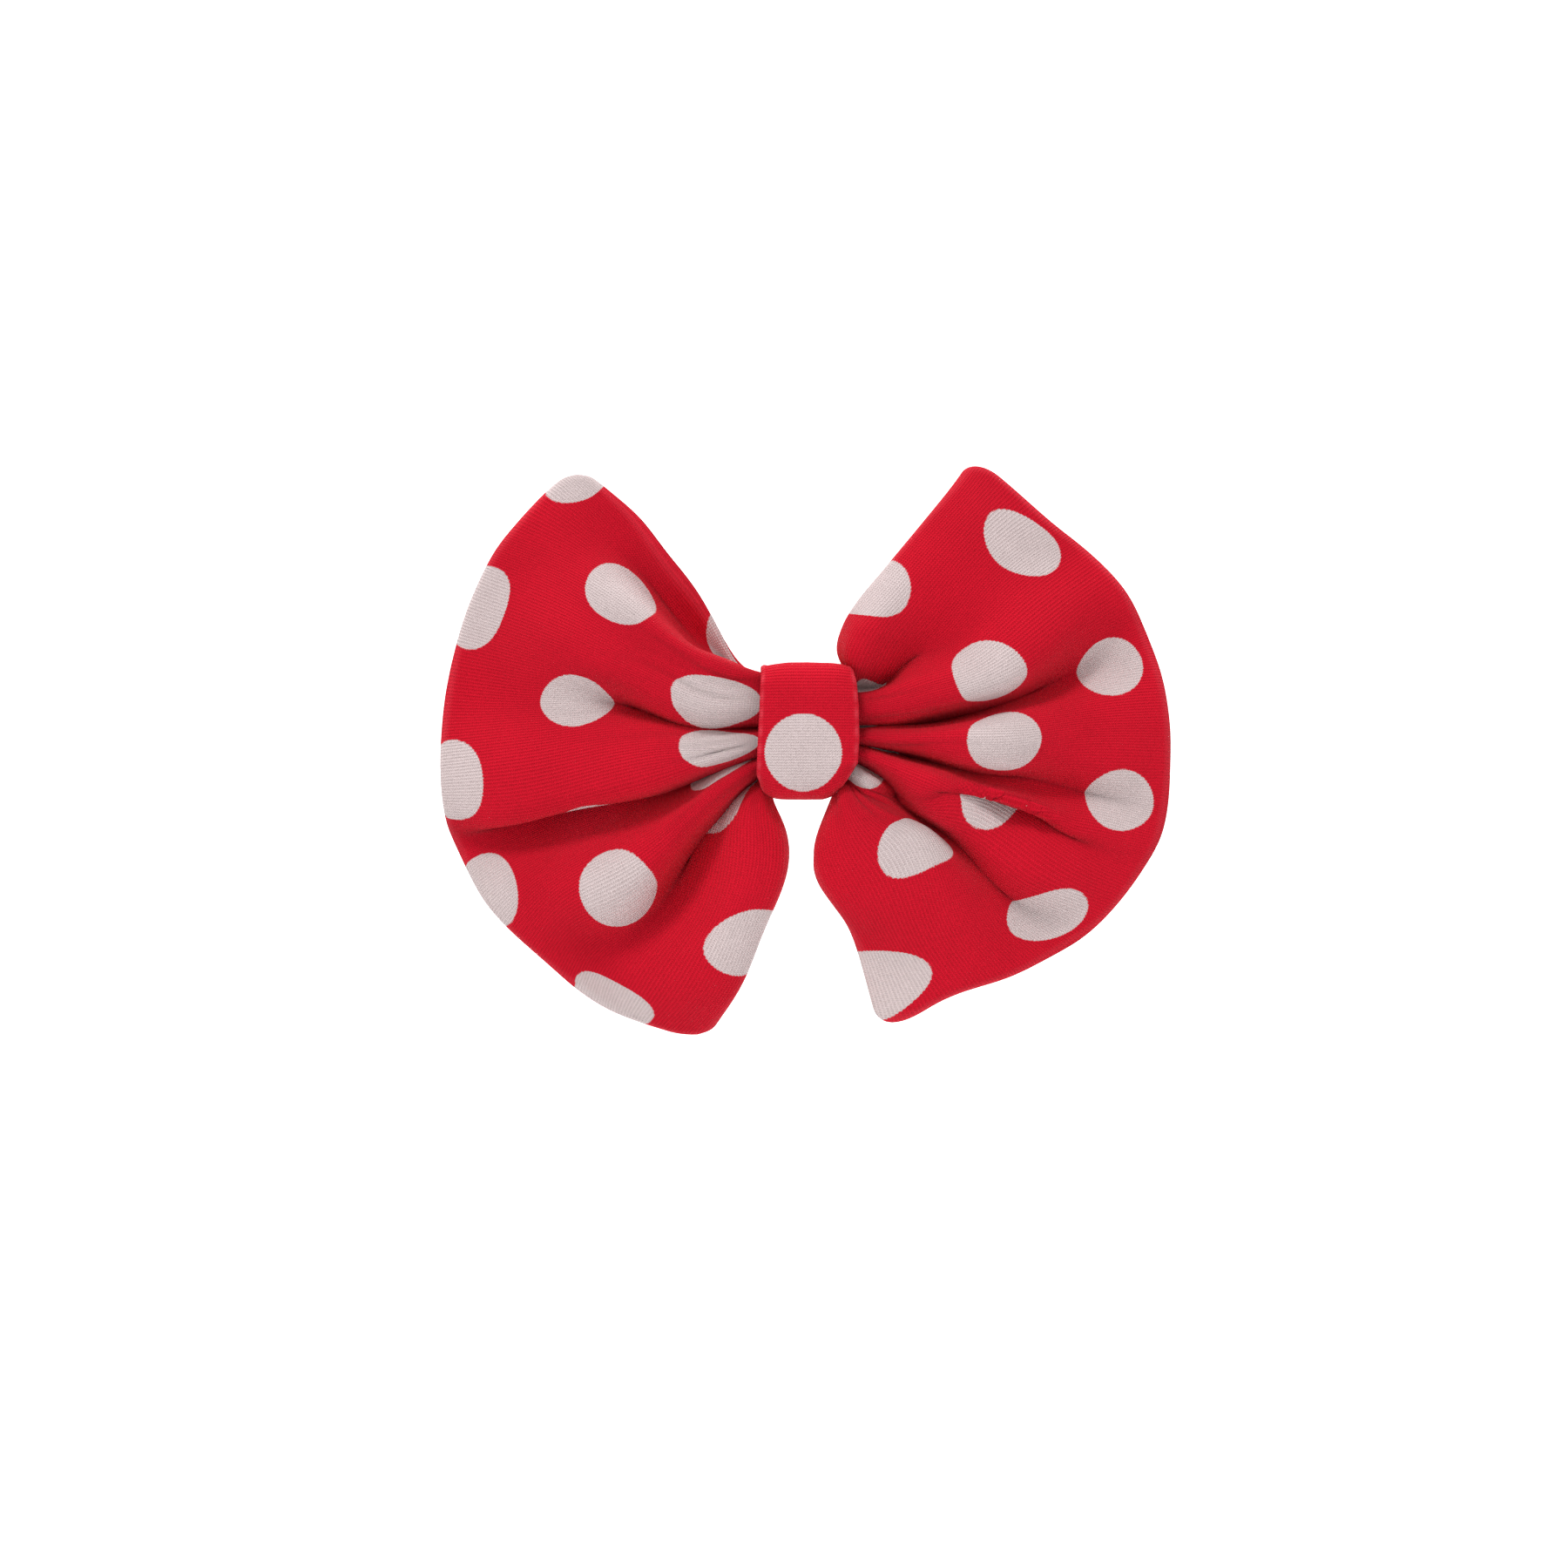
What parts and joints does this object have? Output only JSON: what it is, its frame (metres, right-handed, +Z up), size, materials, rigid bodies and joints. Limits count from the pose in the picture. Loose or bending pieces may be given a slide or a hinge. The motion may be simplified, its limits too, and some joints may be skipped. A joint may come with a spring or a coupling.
{
  "type": "pre-tied clip-on bow tie",
  "caption": "Soft pre-tied bow of dotted knit fabric, gathered under a wrapped knot band, with a sprung toothed clip behind the knot that grips a collar or a lock of hair.",
  "frame": {"origin": "on the clip's gripping face (the back of its fixed leaf), straight behind the middle of the knot", "axes": "+X along the bow's width, to the right as it is seen from the front; +Y from its front to its back; +Z up as it is worn"},
  "size_m": [0.1144, 0.0239, 0.0883],
  "materials": {
    "dotted_jersey": "matt cotton jersey, red with pale round dots",
    "interlining_felt": "soft non-woven interlining",
    "sewing_thread": "twisted polyester thread",
    "nickel_plate": "bright nickel plate with light handling marks",
    "spring_wire": "drawn steel wire"
  },
  "bodies": {
    "bow": {"front_panel": "dotted_jersey", "interlining": "interlining_felt", "back_panel": "dotted_jersey", "edge_seam_thread": "sewing_thread", "gather_thread": "sewing_thread", "knot_band": "dotted_jersey", "band_seam_thread": "sewing_thread", "clip_leaf": "nickel_plate", "clip_pin": "nickel_plate", "clip_spring": "spring_wire"},
    "jaw": {"clip_jaw": "nickel_plate"}
  },
  "joints": [
    {"name": "jaw_hinge", "type": "hinge", "parent": "bow", "child": "jaw", "pos_m": [0.012, 0.0022, 0], "axis": [0, 0, -1], "range_deg": [0, 32], "stiffness_Nm_per_rad": 0.05, "springref_deg": -45.84, "deforming": ["clip_spring"]}
  ]
}
